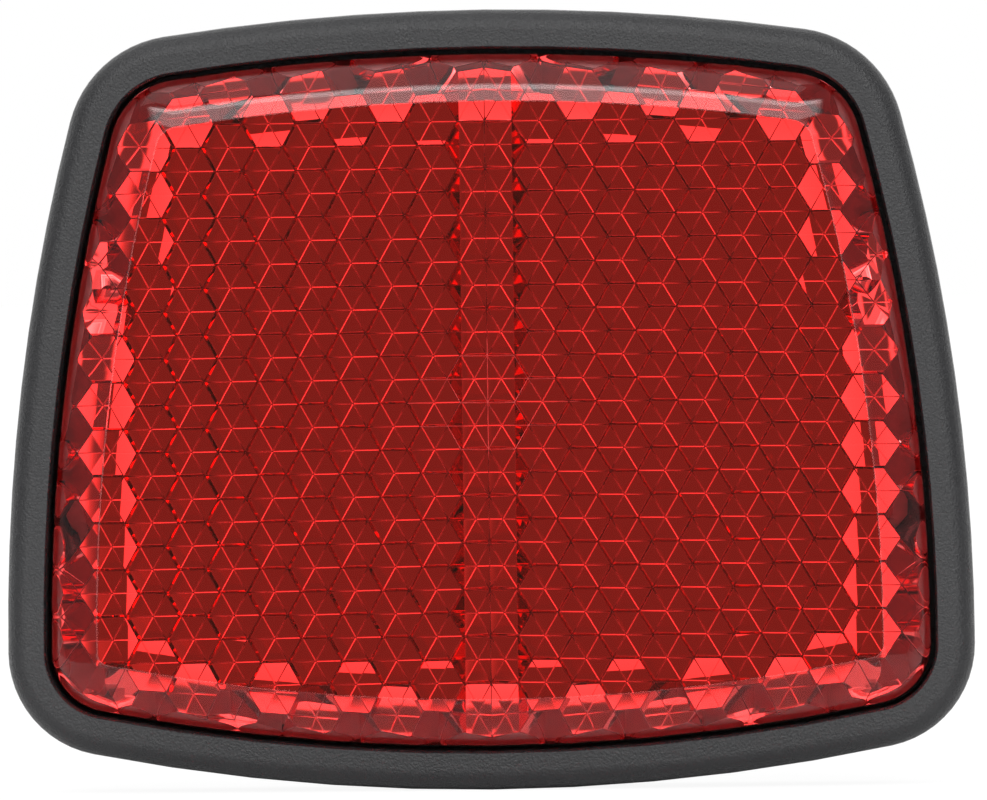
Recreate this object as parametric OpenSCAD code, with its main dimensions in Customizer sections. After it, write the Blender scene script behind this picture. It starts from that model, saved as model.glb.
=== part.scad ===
// Bicycle rear reflector: a red prism lens in a black housing, fixed by one stud behind.
// The origin is the middle of the seat behind, +Z is up, the lens faces -Y and the stud points to +Y.

/* [Outline] */
// Overall width
body_w = 62; // [56:1:72]
// Overall height
body_h = 50; // [44:1:58]
// Height above the lower edge at which the sides are widest
widest_up = 9.6; // [7:0.2:16]
// Bow radius of the two sides
side_bow = 130; // [100:5:200]
// Bow radius of the top edge
top_bow = 142; // [100:1:200]
// Bow radius of the lower edge
bottom_bow = 130; // [100:5:200]
// Rounding of the two upper corners
top_corner = 7.4; // [6.8:0.1:9.5]
// Rounding of the two lower corners
bottom_corner = 6.7; // [6.6:0.1:9]

/* [Housing] */
// Depth of the housing, from its back face to the crest of the rim
shell_depth = 9.5; // [8.5:0.1:12]
// Thickness of the floor
floor_t = 2; // [1.6:0.1:2.6]
// Width of the rim seen from the front
rim_w = 2.5; // [2.2:0.1:2.7]
// Rounding of the outer edge of the rim
rim_round = 1.3; // [0.8:0.1:1.6]
// Break of the inner edge of the rim
rim_break = 0.15; // [0.1:0.05:0.3]
// Rounding of the edge behind
back_round = 1.5; // [1:0.1:2]
// How much smaller the back is than the rim on every side, for the draft of the mould
wall_draft = 0.4; // [0.2:0.1:0.8]
// Height of the bead inside that centres the lens
bead_h = 0.8; // [0.5:0.1:1.2]
// Width of that bead
bead_w = 1; // [0.8:0.1:1.2]

/* [Back] */
// Diameter of the boss that seats on the bracket
boss_d = 22; // [18:0.5:26]
// Height of that boss above the back face
boss_h = 1.5; // [1:0.1:2.5]
// Break of the edge of the boss
boss_break = 0.4; // [0.2:0.1:0.6]
// Thickness of the ribs behind
rib_t = 1.6; // [1.2:0.1:2.2]
// How far the ribs stay below the seat of the boss
rib_drop = 0.4; // [0.2:0.1:0.8]
// Distance from the ends of the ribs to the edge of the body
rib_end = 4.5; // [3.5:0.5:7]

/* [Lens] */
// Gap between the lens and the rim
lens_gap = 0.35; // [0.2:0.05:0.5]
// How far the face of the lens stands in front of the rim
lens_proud = 1.5; // [0.8:0.1:2.5]
// Width of the rolled edge of the lens
edge_w = 3; // [2.6:0.1:3.2]
// Depth of the rolled edge of the lens
edge_drop = 2.2; // [1.6:0.1:2.6]
// Turn of the rolled edge, from its steep foot to the crisp line where it meets the face
edge_turn = 45; // [30:5:80]
// Thickness of the skirt of the lens
skirt_t = 1; // [0.8:0.1:1.6]
// Width of the flat at the foot of the skirt, between its two chamfers
foot_w = 0.3; // [0.2:0.1:0.6]
// Thickness of the lens in front of the prisms
web_t = 1.7; // [1.5:0.1:2.2]

/* [Prisms] */
// Width of one prism across its flats
prism_af = 3; // [2.4:0.1:3.6]
// Height of a point of the first column above the middle of the lens
first_row = 1.35; // [0:0.05:2.4]

/* [Fixing] */
// Diameter of the stud
stud_d = 5; // [4:0.5:6]
// Length of the stud behind the seat
stud_len = 14; // [12.5:0.5:25]
// Chamfer at the end of the stud
stud_tip = 0.6; // [0.4:0.1:0.8]
// Width of the bolt head and of the nut across their flats
hex_af = 8; // [7:0.5:10]
// Height of the bolt head
head_h = 3.5; // [2.8:0.1:4]
// Plastic between the bolt head and the seat
under_head = 2; // [1.5:0.1:2.4]
// Wall round the bolt head
pocket_wall = 2; // [1.5:0.1:3]
// Room between the bolt head and its pocket on every side
pocket_clear = 0.1; // [0.05:0.05:0.2]
// Room round the stud where it passes through a hole
stud_clear = 0.1; // [0.05:0.05:0.2]
// Room left for the bracket, between the seat and the first washer
grip = 3; // [2:0.5:4]
// Outer diameter of the plain washer
washer_d = 10; // [9:0.5:15]
// Thickness of the plain washer
washer_t = 1; // [0.8:0.1:1.4]
// Outer diameter of the spring washer
lock_d = 9.2; // [8.4:0.1:11]
// Thickness of the spring washer
lock_t = 1.2; // [1:0.1:1.6]
// Width of the slit in the spring washer
lock_slit = 0.8; // [0.5:0.1:1.2]
// Height of the nut
nut_h = 4; // [3.2:0.1:5]

/* [Hidden] */

// Depths forward of the seat
back_z = boss_h;
floor_z = back_z + floor_t;
crest_z = back_z + shell_depth;
face_z = crest_z + lens_proud;
head_z = under_head;

// How far the solids of one moulding run into each other, inwards and in depth, and how far a cut runs on
lap = 0.2;
fuse = 0.25;
past = 1;

// Distances inwards from the outline
lens_in = rim_w + lens_gap;
cavity_in = lens_in + skirt_t;
face_in = lens_in + edge_w;
band_in = face_in + lap;
seam_in = face_in + lap / 2;

// The prisms are cube corners: their points lie behind, and every edge drops one step
prism_edge = prism_af / sqrt(3);
prism_step = prism_edge / sqrt(2);
low_z = face_z - web_t;
point_z = low_z - 2 * prism_step;

bow_steps = 5;
corner_steps = 12;
round_steps = 5;
roll_steps = 8;
round_fn = 64;

// Centres of the bows, and of the corners that touch two of them
side_c = [body_w / 2 - side_bow, widest_up - body_h / 2];
top_c = [0, body_h / 2 - top_bow];
bottom_c = [0, bottom_bow - body_h / 2];
top_corner_c = meet(side_c, side_bow - top_corner, top_c, top_bow - top_corner, 1);
bottom_corner_c = meet(side_c, side_bow - bottom_corner, bottom_c, bottom_bow - bottom_corner, -1);

// The right half of the outline, from the lower edge to the top: centre, radius, two headings and steps
lower_turn = heading(bottom_c, bottom_corner_c);
side_start = heading(side_c, bottom_corner_c);
side_end = heading(side_c, top_corner_c);
upper_turn = heading(top_c, top_corner_c);
lower_half = [bottom_c, bottom_bow, -90, lower_turn, bow_steps];
lower_corner = [bottom_corner_c, bottom_corner, lower_turn, side_start, corner_steps];
side = [side_c, side_bow, side_start, side_end, 2 * bow_steps];
upper_corner = [top_corner_c, top_corner, side_end, upper_turn, corner_steps];
upper_half = [top_c, top_bow, upper_turn, 90, bow_steps];
half_outline = [lower_half, lower_corner, side, upper_corner, upper_half];

function heading(from, to) = atan2(to[1] - from[1], to[0] - from[0]);

// Where two circles meet, to the left (1) or to the right (-1) of the way from a to b
function meet(a, ra, b, rb, left) =
    let (
        gap = norm(b - a),
        unit = (b - a) / gap,
        along = (ra * ra - rb * rb + gap * gap) / (2 * gap),
        off = sqrt(ra * ra - along * along)
    )
    a + along * unit + left * off * [-unit[1], unit[0]];

// Stations along the right half of the outline: the centre of the bow there, its radius and the way outwards
half_stations = concat(
    [
        for (arc = half_outline)
            for (i = [0:arc[4] - 1])
                let (a = arc[2] + (arc[3] - arc[2]) * i / arc[4])
                [arc[0], arc[1], [cos(a), sin(a)]]
    ],
    [[top_c, top_bow, [0, 1]]]
);

// The left half mirrors them, from the top back to the lower edge, without the two in the middle
stations = concat(
    half_stations,
    [
        for (i = [len(half_stations) - 2:-1:1])
            let (s = half_stations[i])
            [[-s[0][0], s[0][1]], s[1], [-s[2][0], s[2][1]]]
    ]
);

// The point of a station that lies a distance outside the outline, or inside it where that is negative
function beside(station, out) = station[0] + (station[1] + out) * station[2];

// A rounded part of a section, from angle a to angle b round a centre
function rounding(centre, rx, ry, a, b, steps = round_steps) = [
    for (i = [0:steps])
        let (t = a + (b - a) * i / steps)
        centre + [rx * cos(t), ry * sin(t)]
];

// Turns a shape that was drawn lying on its back to face -Y
module stand() {
    rotate([90, 0, 0]) children();
}

// Carries a closed section all the way round the outline. Its points are [distance outwards, depth]
module carry_round(section) {
    around = len(stations);
    n = len(section);
    polyhedron(
        [for (s = stations) for (p = section) let (q = beside(s, p[0])) [q[0], q[1], p[1]]],
        [
            for (i = [0:around - 1])
                for (k = [0:n - 1])
                    let (next = ((i + 1) % around) * n, after = (k + 1) % n)
                    [i * n + k, i * n + after, next + after, next + k]
        ]
    );
}

// A flat plate with the outline moved inwards
module plate(inset, from, to) {
    translate([0, 0, from])
        linear_extrude(to - from)
            polygon([for (s = stations) beside(s, -inset)]);
}

module hexagon(af) {
    circle(d = af / cos(30), $fn = 6);
}

// A hexagonal head or nut with its corners turned off at both ends
module hexagon_block(af, h, from) {
    corner_d = af / cos(30);
    turned = (corner_d - af) / 2;
    intersection() {
        translate([0, 0, from]) linear_extrude(h) hexagon(af);
        rotate_extrude($fn = round_fn)
            polygon([
                [0, from],
                [corner_d / 2 - turned, from],
                [corner_d / 2, from + turned * tan(30)],
                [corner_d / 2, from + h - turned * tan(30)],
                [corner_d / 2 - turned, from + h],
                [0, from + h]
            ]);
    }
}

// The hole that the stud passes, through a part of a given thickness
module stud_hole(room, thickness) {
    cylinder(d = stud_d + room, h = thickness + 2 * past, $fn = round_fn);
}

module washer(d, t, from) {
    translate([0, 0, from])
        difference() {
            cylinder(d = d, h = t, $fn = round_fn);
            translate([0, 0, -past]) stud_hole(2 * stud_clear, t);
        }
}

// Level of a lattice point: 0 at a prism's point, 1 halfway, 2 where three prisms meet in front
function level(col, row) = col == 0 ? 1 : (abs(col) + 1 + row % 2) % 3;

// Place of a lattice point to the left or right: every other row is half an edge nearer to the middle
function across(col, row) = (col - sign(col) * (row % 2) / 2) * prism_edge;

// The prism sheet, the same on both sides of a straight ridge up the middle, closed far in front of it
module prism_sheet() {
    cols = ceil(body_w / 2 / prism_edge) + 1;
    rows = 2 * ceil(body_h / prism_af) + 4;
    lowest = first_row + prism_af / 2 - prism_af * ceil(rows / 4);
    width = 2 * cols + 1;
    surface = [
        for (row = [0:rows])
            for (col = [-cols:cols])
                [across(col, row), lowest + row * prism_af / 2, point_z + level(col, row) * prism_step]
    ];
    tip = len(surface);
    far_tip = [[0, 0, 20 * body_h]];
    sheet = [
        for (row = [0:rows - 1])
            for (col = [-cols:cols - 1])
                let (
                    a = row * width + col + cols,
                    b = a + 1,
                    c = a + width,
                    d = c + 1,
                    leans = (row % 2 == 0) == (col >= 0)
                )
                each (leans ? [[a, b, d], [a, d, c]] : [[a, b, c], [b, d, c]])
    ];
    edge = concat(
        [for (i = [0:width - 2]) i],
        [for (row = [0:rows - 1]) row * width + width - 1],
        [for (i = [width - 1:-1:1]) rows * width + i],
        [for (row = [rows:-1:1]) row * width]
    );
    sides = [for (i = [0:len(edge) - 1]) [edge[(i + 1) % len(edge)], edge[i], tip]];
    polyhedron(concat(surface, far_tip), concat(sheet, sides));
}

// The prism field, cut to the inside of the skirt
module prism_field() {
    intersection() {
        prism_sheet();
        plate(cavity_in - lap, floor_z, low_z + fuse + lap);
    }
}

module lens() {
    foot_break = (skirt_t - foot_w) / 2;
    roll_x = edge_w / (1 - cos(edge_turn));
    roll_y = edge_drop / sin(edge_turn);
    roll_c = [-lens_in - roll_x, face_z - edge_drop];
    color("red") stand() {
        carry_round(concat(
            [
                [-cavity_in, floor_z + foot_break],
                [foot_break - cavity_in, floor_z],
                [-foot_break - lens_in, floor_z],
                [-lens_in, floor_z + foot_break]
            ],
            rounding(roll_c, roll_x, roll_y, 0, edge_turn, roll_steps),
            [[-band_in, face_z], [-band_in, low_z + fuse], [-cavity_in, low_z + fuse]]
        ));
        plate(seam_in, low_z + fuse, face_z);
        prism_field();
    }
}

// The section of the housing: floor, wall, rim and the bead inside
bead_out = cavity_in + lap;
bead_in = bead_out + bead_w;
housing_section = concat(
    [[-band_in, back_z]],
    rounding([-wall_draft - back_round, back_z + back_round], back_round, back_round, -90, 0),
    rounding([-rim_round, crest_z - rim_round], rim_round, rim_round, 0, 90),
    [
        [rim_break - rim_w, crest_z],
        [-rim_w, crest_z - rim_break],
        [-rim_w, floor_z],
        [-bead_out, floor_z],
        [-bead_out, floor_z + bead_h],
        [-bead_in, floor_z + bead_h],
        [-bead_in, floor_z],
        [-band_in, floor_z]
    ]
);

// A rib behind, from under the boss to near the edge, where it runs out
module back_rib(reach) {
    top = rib_drop;
    rotate([90, 0, 0])
        translate([0, 0, -rib_t / 2])
            linear_extrude(rib_t)
                polygon([
                    [boss_d / 2 - past, back_z + fuse],
                    [boss_d / 2 - past, top],
                    [reach - 2 * (back_z - top), top],
                    [reach, back_z],
                    [reach, back_z + fuse]
                ]);
}

module housing() {
    pocket_af = hex_af + 2 * pocket_clear;
    pocket_z = head_z + head_h + pocket_clear;
    color("#2b2b2d") stand()
        difference() {
            union() {
                carry_round(housing_section);
                plate(seam_in, back_z, floor_z);
                rotate_extrude($fn = round_fn)
                    polygon([
                        [0, 0],
                        [boss_d / 2 - boss_break, 0],
                        [boss_d / 2, boss_break],
                        [boss_d / 2, back_z + fuse],
                        [0, back_z + fuse]
                    ]);
                for (side = [0, 180]) rotate(side) back_rib(body_w / 2 - rib_end);
                for (side = [90, 270]) rotate(side) back_rib(body_h / 2 - rib_end);
                translate([0, 0, floor_z - fuse])
                    cylinder(
                        d = pocket_af / cos(30) + 2 * pocket_wall,
                        h = pocket_z - floor_z + fuse,
                        $fn = round_fn
                    );
            }
            translate([0, 0, head_z]) linear_extrude(shell_depth) hexagon(pocket_af);
            translate([0, 0, -past]) stud_hole(2 * stud_clear, head_z);
        }
}

module mounting_bolt() {
    color("silver") stand() {
        hexagon_block(hex_af, head_h, head_z);
        rotate_extrude($fn = round_fn)
            polygon([
                [0, -stud_len],
                [stud_d / 2 - stud_tip, -stud_len],
                [stud_d / 2, stud_tip - stud_len],
                [stud_d / 2, head_z + head_h / 2],
                [0, head_z + head_h / 2]
            ]);
    }
}

module flat_washer() {
    color("gainsboro") stand() washer(washer_d, washer_t, -grip - washer_t);
}

module lock_washer() {
    from = -grip - washer_t - lock_t;
    color("darkgray") stand()
        difference() {
            washer(lock_d, lock_t, from);
            translate([0, lock_d / 2, from + lock_t / 2])
                rotate([0, 20, 0])
                    cube([lock_slit, lock_d - stud_d + past, 3 * lock_t], center = true);
        }
}

module hex_nut() {
    from = -grip - washer_t - lock_t - nut_h;
    color("silver") stand()
        difference() {
            hexagon_block(hex_af, nut_h, from);
            translate([0, 0, from - past]) stud_hole(stud_clear, nut_h);
        }
}

lens();
housing();
mounting_bolt();
flat_washer();
lock_washer();
hex_nut();
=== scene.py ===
"""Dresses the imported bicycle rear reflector: lens, housing, threaded stud, nut and washers."""

import math

import bmesh
import bpy
from bpy.props import FloatProperty, FloatVectorProperty, IntProperty, PointerProperty
from mathutils import Matrix, Vector


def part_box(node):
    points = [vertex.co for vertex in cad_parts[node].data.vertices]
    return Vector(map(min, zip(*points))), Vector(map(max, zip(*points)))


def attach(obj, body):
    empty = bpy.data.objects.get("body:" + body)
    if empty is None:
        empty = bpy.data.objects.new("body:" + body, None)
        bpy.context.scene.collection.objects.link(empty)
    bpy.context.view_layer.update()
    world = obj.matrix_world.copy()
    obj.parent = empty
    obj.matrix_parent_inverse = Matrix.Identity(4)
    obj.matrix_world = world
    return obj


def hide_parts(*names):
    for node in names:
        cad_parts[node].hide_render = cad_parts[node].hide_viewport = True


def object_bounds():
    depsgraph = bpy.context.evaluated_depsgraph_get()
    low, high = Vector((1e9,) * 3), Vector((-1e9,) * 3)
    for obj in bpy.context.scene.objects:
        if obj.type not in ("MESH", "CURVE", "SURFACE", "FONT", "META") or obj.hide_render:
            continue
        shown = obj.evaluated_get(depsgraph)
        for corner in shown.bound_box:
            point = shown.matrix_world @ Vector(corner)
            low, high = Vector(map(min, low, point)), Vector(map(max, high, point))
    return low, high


bl_info = {
    "name": "Bicycle rear reflector",
    "version": (1, 0, 0),
    "blender": (4, 5, 0),
    "location": "3D View > Sidebar > Reflector",
    "description": "Makes the lens, the housing, the fixing and the stage of a rear reflector",
    "category": "Object",
}

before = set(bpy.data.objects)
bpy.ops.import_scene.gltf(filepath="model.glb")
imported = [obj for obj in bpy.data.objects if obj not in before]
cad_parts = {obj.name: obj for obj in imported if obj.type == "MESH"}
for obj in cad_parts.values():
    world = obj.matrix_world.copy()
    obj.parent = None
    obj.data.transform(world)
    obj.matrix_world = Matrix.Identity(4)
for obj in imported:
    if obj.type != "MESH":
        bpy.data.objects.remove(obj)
cad_low, cad_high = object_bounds()

MM = 0.001

# Lengths at which places count as one: when a node is copied, when a stud's end is cut, and
# when the screwed turns are joined or a corner is looked for.
MERGE = 0.002 * MM
CUT = 0.0005 * MM
NEAR = 0.01 * MM

# Angles between faces: less than the first is one flat face, more than the second is an edge of
# a prism, and more than the third is the contour line on the lens's face.
FLAT_ANGLE = math.radians(0.2)
PRISM_ANGLE = math.radians(40)
CONTOUR_ANGLE = math.radians(5)

# How much a face may lean along Y and still belong to the skirt.
SKIRT_LEAN = 0.05

# The thread's flanks: they rise faster than a plain V, which leaves a flat crest, and start
# below it, which leaves a flat root.
FLANK_RISE = 1.25
FLANK_DROP = 0.06

WHITE = (1, 1, 1, 1)
FLOOR_PAINT = (0.9, 0.9, 0.9, 1)
ACRYLIC_IOR = 1.49
PLASTIC_IOR = 1.5

# The plastic's broad clouds: their share of the grain's scale, the span of the noise that
# counts, and how dark the darkest places are.
CLOUD_SCALE = 0.12
CLOUD_SPAN = (0.3, 0.7)
CLOUD_DARK = 0.8

# The plating's clouds: their scale, how dark the darkest places are, and how far the roughness
# goes below and above its value.
PLATING_SCALE = 900.0
PLATING_DARK = 0.75
PLATING_SHINIER = 0.08
PLATING_DULLER = 0.12

# Name, colour and roughness of each plating.
PLATINGS = {
    "bolt": ("Bright zinc plating", (0.66, 0.67, 0.69), 0.3),
    "plain_washer": ("Plain washer plating", (0.64, 0.65, 0.66), 0.32),
    "spring_washer": ("Spring washer plating", (0.46, 0.47, 0.49), 0.38),
    "nut": ("Nut plating", (0.65, 0.66, 0.68), 0.28),
}

# Light goes through the prisms and back with many bounces.
MOST_BOUNCES = 24
GLASS_BOUNCES = 16

# Places in the studio, as parts of a unit vector from the reflector: -Y is in front of the lens
# and +Z is up. Each pair says where a change starts and where it ends.
WALL_TO_SIDE = (-0.9, -0.78)
SIDE_TO_BACK = (0.05, 0.15)
BOX_FRONT = (-0.2, -0.3)
BOX_LOWER_EDGE = (0.48, 0.52)
BOX_UPPER_EDGE = (0.7, 0.74)
BOX_SIDE_EDGE = (0.45, 0.6)
TUBE_EDGE = (0.66, 0.68)


class ReflectorLens(bpy.types.PropertyGroup):
    """Sizes and colour of the prism lens."""

    prism_width: FloatProperty(
        name="Prism width",
        description="Width of one prism across its flats",
        default=3 * MM,
        unit="LENGTH",
    )
    web: FloatProperty(
        name="Web",
        description="Thickness of the lens in front of the prisms",
        default=1.7 * MM,
        unit="LENGTH",
    )
    edge_break: FloatProperty(
        name="Prism edge break",
        description="Width of the small flat along every edge of the prisms",
        default=0.05 * MM,
        unit="LENGTH",
    )
    edge_segments: IntProperty(
        name="Prism edge segments",
        description="Faces across the rounding of a prism's edge",
        default=3,
        min=1,
        max=6,
    )
    contour_break: FloatProperty(
        name="Contour break",
        description="Rounding of the crisp line where the face meets its rolled edge",
        default=0.06 * MM,
        unit="LENGTH",
    )
    skirt_roughness: FloatProperty(
        name="Skirt roughness",
        description="Roughness of the skirt, which is not polished as the prisms are",
        default=0.45,
    )
    skirt_scatter: FloatProperty(
        name="Skirt scatter",
        description="Share of the light that the matte skirt scatters back",
        default=0.85,
        min=0.0,
        max=1.0,
    )
    smooth_angle: FloatProperty(
        name="Smooth angle",
        description="Angle up to which the lens is shaded smooth",
        default=math.radians(28),
        subtype="ANGLE",
    )
    tint: FloatVectorProperty(
        name="Tint",
        description="Colour that the red acrylic lets through",
        default=(0.985, 0.03, 0.02),
        subtype="COLOR",
    )
    depth_of_tint: FloatProperty(
        name="Depth of tint",
        description="How fast the acrylic takes the other colours away, per metre",
        default=440.0,
    )


class ReflectorHousing(bpy.types.PropertyGroup):
    """Finish of the black housing."""

    plastic: FloatVectorProperty(
        name="Plastic",
        description="Colour of the black plastic",
        default=(0.022, 0.022, 0.024),
        subtype="COLOR",
    )
    grain: FloatProperty(
        name="Grain",
        description="Size of the fine grain of the mould",
        default=0.16 * MM,
        unit="LENGTH",
    )
    grain_depth: FloatProperty(
        name="Grain depth",
        description="Depth of the fine grain",
        default=0.08 * MM,
        unit="LENGTH",
    )
    least_roughness: FloatProperty(
        name="Least roughness",
        description="Roughness of the shiniest places of the plastic",
        default=0.2,
    )
    most_roughness: FloatProperty(
        name="Most roughness",
        description="Roughness of the dullest places of the plastic",
        default=0.34,
    )
    smooth_angle: FloatProperty(
        name="Smooth angle",
        description="Angle up to which the housing is shaded smooth",
        default=math.radians(32),
        subtype="ANGLE",
    )


class ReflectorFixing(bpy.types.PropertyGroup):
    """Sizes of the threaded stud, its nut and washers."""

    stud_radius: FloatProperty(
        name="Stud radius",
        description="Outer radius of the thread",
        default=2.5 * MM,
        unit="LENGTH",
    )
    pitch: FloatProperty(
        name="Pitch",
        description="Rise of the thread in one turn",
        default=0.8 * MM,
        unit="LENGTH",
    )
    thread_depth: FloatProperty(
        name="Thread depth",
        description="Depth of the thread's groove",
        default=0.45 * MM,
        unit="LENGTH",
    )
    taper: FloatProperty(
        name="Taper",
        description="Length and depth of the slope at the end of the stud",
        default=0.6 * MM,
        unit="LENGTH",
    )
    head_height: FloatProperty(
        name="Head height",
        description="Height of the bolt's head",
        default=3.5 * MM,
        unit="LENGTH",
    )
    head_width: FloatProperty(
        name="Head width",
        description="Width of the bolt's head across its flats",
        default=8 * MM,
        unit="LENGTH",
    )
    head_break: FloatProperty(
        name="Head edge break",
        description="Width of the break on the edges of the bolt's head",
        default=0.25 * MM,
        unit="LENGTH",
    )
    flat_break: FloatProperty(
        name="Plain washer edge break",
        description="Width of the break on the edges of the plain washer",
        default=0.08 * MM,
        unit="LENGTH",
    )
    spring_break: FloatProperty(
        name="Spring washer edge break",
        description="Width of the break on the edges of the spring washer",
        default=0.1 * MM,
        unit="LENGTH",
    )
    nut_break: FloatProperty(
        name="Nut edge break",
        description="Width of the break on the edges of the nut",
        default=0.1 * MM,
        unit="LENGTH",
    )
    steps: IntProperty(
        name="Steps",
        description="Faces round the thread",
        default=40,
        min=16,
        max=96,
    )


class ReflectorStage(bpy.types.PropertyGroup):
    """Camera, light and floor."""

    azimuth: FloatProperty(
        name="Azimuth",
        description="Turn of the camera round the reflector",
        default=math.radians(1.7),
        subtype="ANGLE",
    )
    elevation: FloatProperty(
        name="Elevation",
        description="Height of the camera as an angle",
        default=math.radians(1.0),
        subtype="ANGLE",
    )
    roll: FloatProperty(
        name="Roll",
        description="Turn of the camera about its own line of sight",
        default=math.radians(0.7),
        subtype="ANGLE",
    )
    distance: FloatProperty(
        name="Distance",
        description="From the camera to the middle of the lens face",
        default=0.9,
        unit="LENGTH",
    )
    framed_width: FloatProperty(
        name="Framed width",
        description="Width that the picture takes in at the rim",
        default=63.15 * MM,
        unit="LENGTH",
    )
    lamp_place: FloatVectorProperty(
        name="Lamp place",
        description="Where the soft lamp hangs",
        default=(-0.1, -0.15, 0.45),
        subtype="TRANSLATION",
    )
    lamp_width: FloatProperty(
        name="Lamp width",
        description="Longer side of the soft lamp",
        default=0.5,
        unit="LENGTH",
    )
    lamp_depth: FloatProperty(
        name="Lamp depth",
        description="Shorter side of the soft lamp",
        default=0.3,
        unit="LENGTH",
    )
    lamp_power: FloatProperty(
        name="Lamp power",
        description="Power of the soft lamp above",
        default=0.35,
        unit="POWER",
    )
    dim_light: FloatProperty(
        name="Dim light",
        description="Light of the place behind the camera, which the prisms send back to it",
        default=0.22,
    )
    dim_colour: FloatVectorProperty(
        name="Dim colour",
        description="Colour of the place behind the camera",
        default=(1.0, 0.9, 0.68),
        subtype="COLOR",
    )
    dim_reach: FloatProperty(
        name="Dim reach",
        description="How far the dim place reaches, as an angle from the axis of the lens",
        default=math.radians(5.0),
        subtype="ANGLE",
    )
    dim_blur: FloatProperty(
        name="Dim blur",
        description="Angle over which the dim place turns bright",
        default=math.radians(2.5),
        subtype="ANGLE",
    )
    front_light: FloatProperty(
        name="Front light",
        description="Light of the white walls in front, round the dim place",
        default=1.85,
    )
    side_light: FloatProperty(
        name="Side light",
        description="Light of the room to the sides",
        default=0.35,
    )
    back_light: FloatProperty(
        name="Back light",
        description="Light of the white background",
        default=1.0,
    )
    box_light: FloatProperty(
        name="Box light",
        description="Added light of the soft box above the camera",
        default=3.2,
    )
    tube_gain: FloatProperty(
        name="Tube gain",
        description="How much brighter the upper edge of the soft box is",
        default=2.2,
    )
    aim_across: FloatProperty(
        name="Aim across",
        description="How far to the right of the middle the camera aims",
        default=0.38 * MM,
        unit="LENGTH",
    )
    floor_size: FloatProperty(
        name="Floor size",
        description="Length of the floor's sides",
        default=3.0,
        unit="LENGTH",
    )
    floor_front: FloatProperty(
        name="Floor in front",
        description="How far the floor reaches in front of the reflector",
        default=20 * MM,
        unit="LENGTH",
    )
    floor_glow: FloatProperty(
        name="Floor glow",
        description="How white the floor looks to the camera",
        default=1.08,
    )
    glow_share: FloatProperty(
        name="Glow share",
        description="Share of the floor's look that doesn't depend on its shadows",
        default=0.85,
    )


def deselect_all():
    """Leaves nothing selected, so that an operator acts on the new piece alone."""
    if bpy.context.object and bpy.context.object.mode != "OBJECT":
        bpy.ops.object.mode_set(mode="OBJECT")
    bpy.ops.object.select_all(action="DESELECT")


def make_active(piece):
    deselect_all()
    piece.select_set(True)
    bpy.context.view_layer.objects.active = piece


def copy_of_node(node, name):
    """A copy of a CAD node as a clean mesh: loose triangles joined, and flat faces made whole."""
    piece = bpy.data.objects.new(name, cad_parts[node].data.copy())
    bpy.context.scene.collection.objects.link(piece)
    piece.data.name = name
    piece.data.materials.clear()
    make_active(piece)
    bpy.ops.object.mode_set(mode="EDIT")
    bpy.ops.mesh.select_all(action="SELECT")
    bpy.ops.mesh.remove_doubles(threshold=MERGE)
    bpy.ops.mesh.dissolve_limited(angle_limit=FLAT_ANGLE)
    bpy.ops.object.mode_set(mode="OBJECT")
    if len(piece.data.polygons) < 4:
        raise RuntimeError(f"the copy of {node} has no faces")
    return piece


def select_in_edit(piece, kind, wanted):
    """Goes to edit mode with just the wanted vertices, edges or faces selected."""
    make_active(piece)
    bpy.ops.object.mode_set(mode="EDIT")
    bpy.ops.mesh.select_mode(type=kind)
    bpy.ops.mesh.select_all(action="DESELECT")
    mesh = bmesh.from_edit_mesh(piece.data)
    items = {"VERT": mesh.verts, "EDGE": mesh.edges, "FACE": mesh.faces}[kind]
    chosen = [item for item in items if wanted(item)]
    for item in chosen:
        item.select_set(True)
    mesh.select_flush_mode()
    bmesh.update_edit_mesh(piece.data)
    if not chosen:
        raise RuntimeError(f"nothing to select on {piece.name}")


def smooth_by_angle(piece, angle):
    """Smooth shading up to an angle, with large flat faces kept flat."""
    make_active(piece)
    bpy.ops.object.shade_smooth_by_angle(angle=angle)
    flats = piece.modifiers.new("Flat faces", "WEIGHTED_NORMAL")
    flats.weight = 100
    flats.keep_sharp = True
    bpy.ops.object.modifier_apply(modifier=flats.name)


def bevel_edges(piece, width, segments, degrees):
    """Breaks every edge sharper than an angle."""
    make_active(piece)
    bevel = piece.modifiers.new("Edge break", "BEVEL")
    bevel.width = width
    bevel.segments = segments
    bevel.limit_method = "ANGLE"
    bevel.angle_limit = math.radians(degrees)
    bpy.ops.object.modifier_apply(modifier=bevel.name)


def finish_piece(piece, material, node):
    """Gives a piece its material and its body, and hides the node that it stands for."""
    piece.data.materials.clear()
    piece.data.materials.append(material)
    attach(piece, "root")
    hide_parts(node)


class Nodes:
    """A short way to write a material's nodes."""

    def __init__(self, name, world=None):
        self.owner = world or bpy.data.materials.new(name)
        self.owner.use_nodes = True
        self.tree = self.owner.node_tree
        self.tree.nodes.clear()

    def add(self, kind, inputs=None, **settings):
        node = self.tree.nodes.new(kind)
        for key, value in settings.items():
            setattr(node, key, value)
        for key, value in (inputs or {}).items():
            socket = node.inputs[key]
            if isinstance(value, bpy.types.NodeSocket):
                self.tree.links.new(value, socket)
            else:
                socket.default_value = value
        return node


def red_acrylic(name, roughness, scatter):
    """Clear red acrylic, polished or matte, tinted by the way that light goes through it."""
    sizes = bpy.context.scene.reflector_lens
    nodes = Nodes(name)
    shader = nodes.add(
        "ShaderNodeBsdfPrincipled",
        {
            "Base Color": WHITE,
            "Roughness": roughness,
            "IOR": ACRYLIC_IOR,
            "Transmission Weight": 1.0 - scatter,
        },
    )
    tint = nodes.add(
        "ShaderNodeVolumeAbsorption",
        {"Color": (*sizes.tint, 1), "Density": sizes.depth_of_tint},
    )
    nodes.add(
        "ShaderNodeOutputMaterial",
        {"Surface": shader.outputs["BSDF"], "Volume": tint.outputs["Volume"]},
    )
    return nodes.owner


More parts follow.
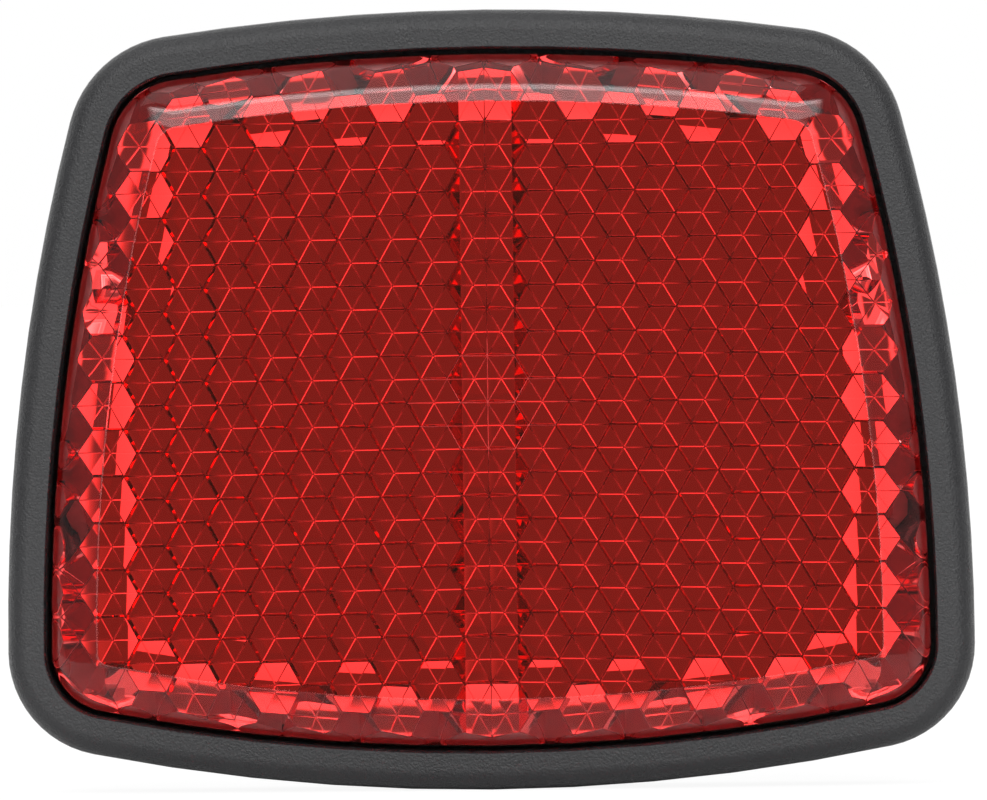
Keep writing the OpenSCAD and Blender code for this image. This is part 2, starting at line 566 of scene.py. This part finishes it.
def black_plastic():
    """Black moulded plastic with the fine bright grain of a spark-eroded mould."""
    sizes = bpy.context.scene.reflector_housing
    nodes = Nodes("Black plastic")
    place = nodes.add("ShaderNodeTexCoord").outputs["Object"]
    fine = nodes.add(
        "ShaderNodeTexNoise",
        {"Vector": place, "Scale": 1 / sizes.grain, "Detail": 3.0, "Roughness": 0.6},
    ).outputs["Fac"]
    broad = nodes.add(
        "ShaderNodeTexNoise",
        {"Vector": place, "Scale": CLOUD_SCALE / sizes.grain, "Detail": 2.0, "Roughness": 0.5},
    ).outputs["Fac"]
    shine = nodes.add(
        "ShaderNodeMapRange",
        {
            "Value": broad,
            "From Min": CLOUD_SPAN[0],
            "From Max": CLOUD_SPAN[1],
            "To Min": sizes.least_roughness,
            "To Max": sizes.most_roughness,
        },
    )
    dark = [CLOUD_DARK * value for value in sizes.plastic]
    colour = nodes.add(
        "ShaderNodeMix",
        {"Factor": broad, "A": (*dark, 1), "B": (*sizes.plastic, 1)},
        data_type="RGBA",
    )
    bump = nodes.add(
        "ShaderNodeBump", {"Height": fine, "Strength": 1.0, "Distance": sizes.grain_depth}
    )
    shader = nodes.add(
        "ShaderNodeBsdfPrincipled",
        {
            "Base Color": colour.outputs[2],
            "Roughness": shine.outputs["Result"],
            "Normal": bump.outputs["Normal"],
            "IOR": PLASTIC_IOR,
        },
    )
    nodes.add("ShaderNodeOutputMaterial", {"Surface": shader.outputs["BSDF"]})
    return nodes.owner


def plated_steel(name, colour, roughness):
    """Zinc-plated steel with a slightly cloudy surface."""
    nodes = Nodes(name)
    place = nodes.add("ShaderNodeTexCoord").outputs["Object"]
    cloud = nodes.add(
        "ShaderNodeTexNoise", {"Vector": place, "Scale": PLATING_SCALE, "Detail": 4.0}
    ).outputs["Fac"]
    dark = [PLATING_DARK * value for value in colour]
    tone = nodes.add(
        "ShaderNodeMix",
        {"Factor": cloud, "A": (*dark, 1), "B": (*colour, 1)},
        data_type="RGBA",
    )
    shine = nodes.add(
        "ShaderNodeMapRange",
        {
            "Value": cloud,
            "To Min": roughness - PLATING_SHINIER,
            "To Max": roughness + PLATING_DULLER,
        },
    )
    shader = nodes.add(
        "ShaderNodeBsdfPrincipled",
        {
            "Base Color": tone.outputs[2],
            "Roughness": shine.outputs["Result"],
            "Metallic": 1.0,
        },
    )
    nodes.add("ShaderNodeOutputMaterial", {"Surface": shader.outputs["BSDF"]})
    return nodes.owner


class REFLECTOR_OT_lens(bpy.types.Operator):
    """Make the red lens: its prisms get a fine break on every edge, its rolled edge is smoothed"""

    bl_idname = "reflector.lens"
    bl_label = "Make the lens"

    def execute(self, context):
        sizes = context.scene.reflector_lens
        piece = copy_of_node("lens", "red_lens")
        face_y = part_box("lens")[0].y
        low_y = face_y + sizes.web
        deep_y = low_y + 2 * sizes.prism_width / math.sqrt(6)
        room = 3 * sizes.edge_break

        def is_prism_edge(edge):
            if edge.calc_face_angle(0) < PRISM_ANGLE or edge.calc_length() < room:
                return False
            for vert in edge.verts:
                if not low_y - NEAR < vert.co.y < deep_y + NEAR:
                    return False
                if min(near.calc_length() for near in vert.link_edges) < room:
                    return False
            return True

        select_in_edit(piece, "EDGE", is_prism_edge)
        bpy.ops.mesh.bevel(
            offset=sizes.edge_break,
            segments=sizes.edge_segments,
            affect="EDGES",
            clamp_overlap=False,
        )
        bpy.ops.object.mode_set(mode="OBJECT")

        def is_contour(edge):
            on_face = all(abs(vert.co.y - face_y) < NEAR for vert in edge.verts)
            return on_face and edge.calc_face_angle(0) > CONTOUR_ANGLE

        select_in_edit(piece, "EDGE", is_contour)
        bpy.ops.mesh.bevel(
            offset=sizes.contour_break, segments=2, affect="EDGES", clamp_overlap=False
        )
        bpy.ops.object.mode_set(mode="OBJECT")
        smooth_by_angle(piece, sizes.smooth_angle)
        finish_piece(piece, red_acrylic("Red acrylic", 0.0, 0.0), "lens")

        def is_skirt(face):
            middle_y = face.calc_center_median().y
            upright = abs(face.normal.y) < SKIRT_LEAN
            return middle_y > deep_y + room or (middle_y > low_y and upright)

        matte = red_acrylic("Matte red acrylic", sizes.skirt_roughness, sizes.skirt_scatter)
        piece.data.materials.append(matte)
        select_in_edit(piece, "FACE", is_skirt)
        piece.active_material_index = 1
        bpy.ops.object.material_slot_assign()
        bpy.ops.object.mode_set(mode="OBJECT")
        return {"FINISHED"}


class REFLECTOR_OT_housing(bpy.types.Operator):
    """Make the black housing with its rim, boss and ribs"""

    bl_idname = "reflector.housing"
    bl_label = "Make the housing"

    def execute(self, context):
        piece = copy_of_node("housing", "black_housing")
        smooth_by_angle(piece, context.scene.reflector_housing.smooth_angle)
        finish_piece(piece, black_plastic(), "housing")
        return {"FINISHED"}


def threaded_stud(sizes, low_y, high_y):
    """A stud with a turned thread: one turn's profile, screwed along Y and cut at both ends."""
    turns = math.ceil((high_y - low_y) / sizes.pitch) + 2
    start = high_y - (turns - 1) * sizes.pitch
    deselect_all()
    bpy.ops.mesh.primitive_plane_add(size=sizes.pitch, location=(0, start, 0))
    stud = bpy.context.active_object
    stud.name = "threaded_stud"
    bpy.ops.object.transform_apply(location=True, rotation=True, scale=True)
    select_in_edit(stud, "VERT", lambda vert: vert.co.x > 0)
    bpy.ops.mesh.delete(type="VERT")
    bpy.ops.mesh.select_all(action="SELECT")
    bpy.ops.mesh.subdivide(number_cuts=7)
    bpy.ops.object.mode_set(mode="OBJECT")
    base = start - sizes.pitch / 2
    for vert in stud.data.vertices:
        along = (vert.co.y - base) / sizes.pitch
        fall = min(1.0, max(0.0, abs(2 * along - 1) * FLANK_RISE - FLANK_DROP))
        vert.co.x = sizes.stud_radius - sizes.thread_depth * (1 - fall)
        vert.co.z = 0
    screw = stud.modifiers.new("Thread", "SCREW")
    screw.axis = "Y"
    screw.angle = math.tau
    screw.screw_offset = sizes.pitch
    screw.iterations = turns
    screw.steps = sizes.steps
    screw.render_steps = sizes.steps
    bpy.ops.object.modifier_apply(modifier=screw.name)
    bpy.ops.object.mode_set(mode="EDIT")
    bpy.ops.mesh.select_all(action="SELECT")
    bpy.ops.mesh.remove_doubles(threshold=NEAR)
    for end_y, outwards in ((high_y, 1), (low_y + sizes.head_height / 2, -1)):
        bpy.ops.mesh.select_all(action="SELECT")
        bpy.ops.mesh.bisect(
            plane_co=(0, end_y, 0),
            plane_no=(0, outwards, 0),
            use_fill=True,
            clear_outer=True,
            threshold=CUT,
        )
    bpy.ops.mesh.select_all(action="SELECT")
    bpy.ops.mesh.normals_make_consistent(inside=False)
    bpy.ops.object.mode_set(mode="OBJECT")
    return stud


def taper_end(stud, sizes, high_y):
    """Draws the thread in towards the free end of the stud."""
    for vert in stud.data.vertices:
        limit = sizes.stud_radius - max(0.0, sizes.taper - (high_y - vert.co.y))
        radius = math.hypot(vert.co.x, vert.co.z)
        if radius > limit:
            vert.co.x *= limit / radius
            vert.co.z *= limit / radius


def bolt_head(sizes, low_y):
    """A hexagonal head with broken edges."""
    deselect_all()
    bpy.ops.mesh.primitive_cylinder_add(
        vertices=6,
        radius=sizes.head_width / 2 / math.cos(math.pi / 6),
        depth=sizes.head_height,
        location=(0, low_y + sizes.head_height / 2, 0),
        rotation=(math.pi / 2, math.pi / 6, 0),
    )
    head = bpy.context.active_object
    bpy.ops.object.transform_apply(location=True, rotation=True, scale=True)
    bevel_edges(head, sizes.head_break, segments=2, degrees=80)
    smooth_by_angle(head, math.radians(30))
    return head


class REFLECTOR_OT_bolt(bpy.types.Operator):
    """Make the bolt: a turned thread on the stud, and a hexagonal head"""

    bl_idname = "reflector.bolt"
    bl_label = "Make the bolt"

    def execute(self, context):
        sizes = context.scene.reflector_fixing
        low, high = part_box("mounting_bolt")
        stud = threaded_stud(sizes, low.y, high.y)
        taper_end(stud, sizes, high.y)
        smooth_by_angle(stud, math.radians(35))
        head = bolt_head(sizes, low.y)
        make_active(stud)
        head.select_set(True)
        bpy.ops.object.join()
        finish_piece(stud, plated_steel(*PLATINGS["bolt"]), "mounting_bolt")
        return {"FINISHED"}


class REFLECTOR_OT_washers(bpy.types.Operator):
    """Make the plain washer and the spring washer, with their edges broken"""

    bl_idname = "reflector.washers"
    bl_label = "Make the washers"

    def execute(self, context):
        sizes = context.scene.reflector_fixing
        plain = copy_of_node("flat_washer", "plain_washer")
        bevel_edges(plain, sizes.flat_break, segments=2, degrees=50)
        smooth_by_angle(plain, math.radians(35))
        plating = plated_steel(*PLATINGS["plain_washer"])
        finish_piece(plain, plating, "flat_washer")
        spring = copy_of_node("lock_washer", "spring_washer")
        bevel_edges(spring, sizes.spring_break, segments=2, degrees=50)
        smooth_by_angle(spring, math.radians(35))
        plating = plated_steel(*PLATINGS["spring_washer"])
        finish_piece(spring, plating, "lock_washer")
        return {"FINISHED"}


class REFLECTOR_OT_nut(bpy.types.Operator):
    """Make the hexagon nut, with its turned corners and broken edges"""

    bl_idname = "reflector.nut"
    bl_label = "Make the nut"

    def execute(self, context):
        piece = copy_of_node("hex_nut", "hexagon_nut")
        nut_break = context.scene.reflector_fixing.nut_break
        bevel_edges(piece, nut_break, segments=2, degrees=25)
        smooth_by_angle(piece, math.radians(32))
        finish_piece(piece, plated_steel(*PLATINGS["nut"]), "hex_nut")
        return {"FINISHED"}


def add_camera(scene, aim):
    """A camera that looks at a place from the photograph's side."""
    sizes = scene.reflector_stage
    sight = Vector(
        (
            math.sin(sizes.azimuth) * math.cos(sizes.elevation),
            -math.cos(sizes.azimuth) * math.cos(sizes.elevation),
            math.sin(sizes.elevation),
        )
    )
    data = bpy.data.cameras.new("Camera")
    camera = bpy.data.objects.new("Camera", data)
    scene.collection.objects.link(camera)
    scene.camera = camera
    data.sensor_fit = "HORIZONTAL"
    data.sensor_width = 36.0
    data.lens = data.sensor_width * sizes.distance / sizes.framed_width
    data.clip_start = 0.01
    data.clip_end = 20.0
    place = Matrix.Translation(aim + sight * sizes.distance)
    turn = (-sight).to_track_quat("-Z", "Y").to_matrix().to_4x4()
    camera.matrix_world = place @ turn @ Matrix.Rotation(-sizes.roll, 4, "Z")


def add_lamp(scene, aim):
    """A soft lamp above and in front, which points at a place."""
    sizes = scene.reflector_stage
    data = bpy.data.lights.new("Soft lamp", "AREA")
    data.shape = "RECTANGLE"
    data.size = sizes.lamp_width
    data.size_y = sizes.lamp_depth
    data.energy = sizes.lamp_power
    lamp = bpy.data.objects.new("Soft lamp", data)
    scene.collection.objects.link(lamp)
    lamp.location = sizes.lamp_place
    lamp.rotation_euler = (aim - lamp.location).to_track_quat("-Z", "Y").to_euler()


def studio_world(scene):
    """A white studio with a dim place behind the camera and a bright soft box above it."""
    sizes = scene.reflector_stage
    world = bpy.data.worlds.new("Studio")
    scene.world = world
    nodes = Nodes("Studio", world)
    way = nodes.add("ShaderNodeTexCoord").outputs["Generated"]
    parts = nodes.add("ShaderNodeSeparateXYZ", {"Vector": way}).outputs

    def ramp(value, ends, low, high):
        return nodes.add(
            "ShaderNodeMapRange",
            {
                "Value": value,
                "From Min": ends[0],
                "From Max": ends[1],
                "To Min": low,
                "To Max": high,
            },
            interpolation_type="SMOOTHSTEP",
        ).outputs["Result"]

    def times(a, b):
        return nodes.add("ShaderNodeMath", {0: a, 1: b}, operation="MULTIPLY").outputs[0]

    def mixed(share, a, b):
        return nodes.add("ShaderNodeMix", {"Factor": share, "A": a, "B": b}).outputs[0]

    dim_to_wall = (-math.cos(sizes.dim_reach), -math.cos(sizes.dim_reach + sizes.dim_blur))
    front_light = ramp(parts["Y"], dim_to_wall, sizes.dim_light, sizes.front_light)
    to_side = ramp(parts["Y"], WALL_TO_SIDE, 0.0, 1.0)
    to_back = ramp(parts["Y"], SIDE_TO_BACK, 0.0, 1.0)
    forward = mixed(to_side, front_light, sizes.side_light)
    around = mixed(to_back, forward, sizes.back_light)
    side = nodes.add("ShaderNodeMath", {0: parts["X"]}, operation="ABSOLUTE").outputs[0]
    front = ramp(parts["Y"], BOX_FRONT, 0.0, 1.0)
    low_edge = ramp(parts["Z"], BOX_LOWER_EDGE, 0.0, 1.0)
    high_edge = ramp(parts["Z"], BOX_UPPER_EDGE, 1.0, 0.0)
    side_edge = ramp(side, BOX_SIDE_EDGE, 1.0, 0.0)
    box = times(times(front, side_edge), times(low_edge, high_edge))
    tube = ramp(parts["Z"], TUBE_EDGE, 1.0, sizes.tube_gain)
    boxed = times(times(box, tube), sizes.box_light)
    light = nodes.add("ShaderNodeMath", {0: around, 1: boxed}, operation="ADD").outputs[0]
    dim_colour = (*sizes.dim_colour, 1)
    to_wall = ramp(parts["Y"], dim_to_wall, 0.0, 1.0)
    tone = nodes.add(
        "ShaderNodeMix", {"Factor": to_wall, "A": dim_colour, "B": WHITE}, data_type="RGBA"
    ).outputs[2]
    studio = nodes.add("ShaderNodeBackground", {"Color": tone, "Strength": light})
    white = nodes.add("ShaderNodeBackground", {"Color": WHITE, "Strength": 1.0})
    seen = nodes.add("ShaderNodeLightPath").outputs["Is Camera Ray"]
    both = nodes.add(
        "ShaderNodeMixShader", {0: seen, 1: studio.outputs[0], 2: white.outputs[0]}
    )
    nodes.add("ShaderNodeOutputWorld", {"Surface": both.outputs[0]})


def pale_floor(scene, low_z):
    """A plain white floor under the reflector, which keeps its shadow."""
    sizes = scene.reflector_stage
    middle_y = sizes.floor_size / 2 + cad_low.y - sizes.floor_front
    deselect_all()
    bpy.ops.mesh.primitive_plane_add(size=sizes.floor_size, location=(0, middle_y, low_z))
    floor = bpy.context.active_object
    floor.name = "floor"
    nodes = Nodes("Floor white")
    paint = nodes.add("ShaderNodeBsdfDiffuse", {"Color": FLOOR_PAINT})
    glow = nodes.add("ShaderNodeEmission", {"Color": WHITE, "Strength": sizes.floor_glow})
    seen = nodes.add("ShaderNodeLightPath").outputs["Is Camera Ray"]
    share = nodes.add(
        "ShaderNodeMath", {0: seen, 1: sizes.glow_share}, operation="MULTIPLY"
    ).outputs[0]
    both = nodes.add("ShaderNodeMixShader", {0: share, 1: paint.outputs[0], 2: glow.outputs[0]})
    nodes.add("ShaderNodeOutputMaterial", {"Surface": both.outputs[0]})
    floor.data.materials.append(nodes.owner)


class REFLECTOR_OT_stage(bpy.types.Operator):
    """Set the camera, the soft light, the white surroundings and the floor"""

    bl_idname = "reflector.stage"
    bl_label = "Set the stage"

    def execute(self, context):
        scene = context.scene
        aim = Vector((scene.reflector_stage.aim_across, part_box("housing")[0].y, 0))
        add_camera(scene, aim)
        add_lamp(scene, aim)
        studio_world(scene)
        pale_floor(scene, cad_low.z)
        scene.view_settings.view_transform = "Standard"
        scene.cycles.max_bounces = MOST_BOUNCES
        scene.cycles.glossy_bounces = GLASS_BOUNCES
        scene.cycles.transmission_bounces = GLASS_BOUNCES
        return {"FINISHED"}


class REFLECTOR_PT_panel(bpy.types.Panel):
    """Lists the reflector's pieces in the sidebar"""

    bl_idname = "REFLECTOR_PT_panel"
    bl_label = "Rear reflector"
    bl_space_type = "VIEW_3D"
    bl_region_type = "UI"
    bl_category = "Reflector"

    def draw(self, context):
        for operator in OPERATORS:
            self.layout.operator(operator.bl_idname)
        for group in GROUPS:
            values = getattr(context.scene, group)
            box = self.layout.box()
            for name in values.__annotations__:
                box.prop(values, name)


OPERATORS = (
    REFLECTOR_OT_stage,
    REFLECTOR_OT_housing,
    REFLECTOR_OT_lens,
    REFLECTOR_OT_bolt,
    REFLECTOR_OT_washers,
    REFLECTOR_OT_nut,
)
GROUPS = {
    "reflector_lens": ReflectorLens,
    "reflector_housing": ReflectorHousing,
    "reflector_fixing": ReflectorFixing,
    "reflector_stage": ReflectorStage,
}
CLASSES = (*GROUPS.values(), *OPERATORS, REFLECTOR_PT_panel)


def register():
    for item in CLASSES:
        bpy.utils.register_class(item)
    for name, group in GROUPS.items():
        setattr(bpy.types.Scene, name, PointerProperty(type=group))


def unregister():
    for name in GROUPS:
        delattr(bpy.types.Scene, name)
    for item in reversed(CLASSES):
        bpy.utils.unregister_class(item)


def main():
    register()
    bpy.ops.reflector.stage()
    bpy.ops.reflector.housing()
    bpy.ops.reflector.lens()
    bpy.ops.reflector.bolt()
    bpy.ops.reflector.washers()
    bpy.ops.reflector.nut()


if __name__ == "__main__":
    main()
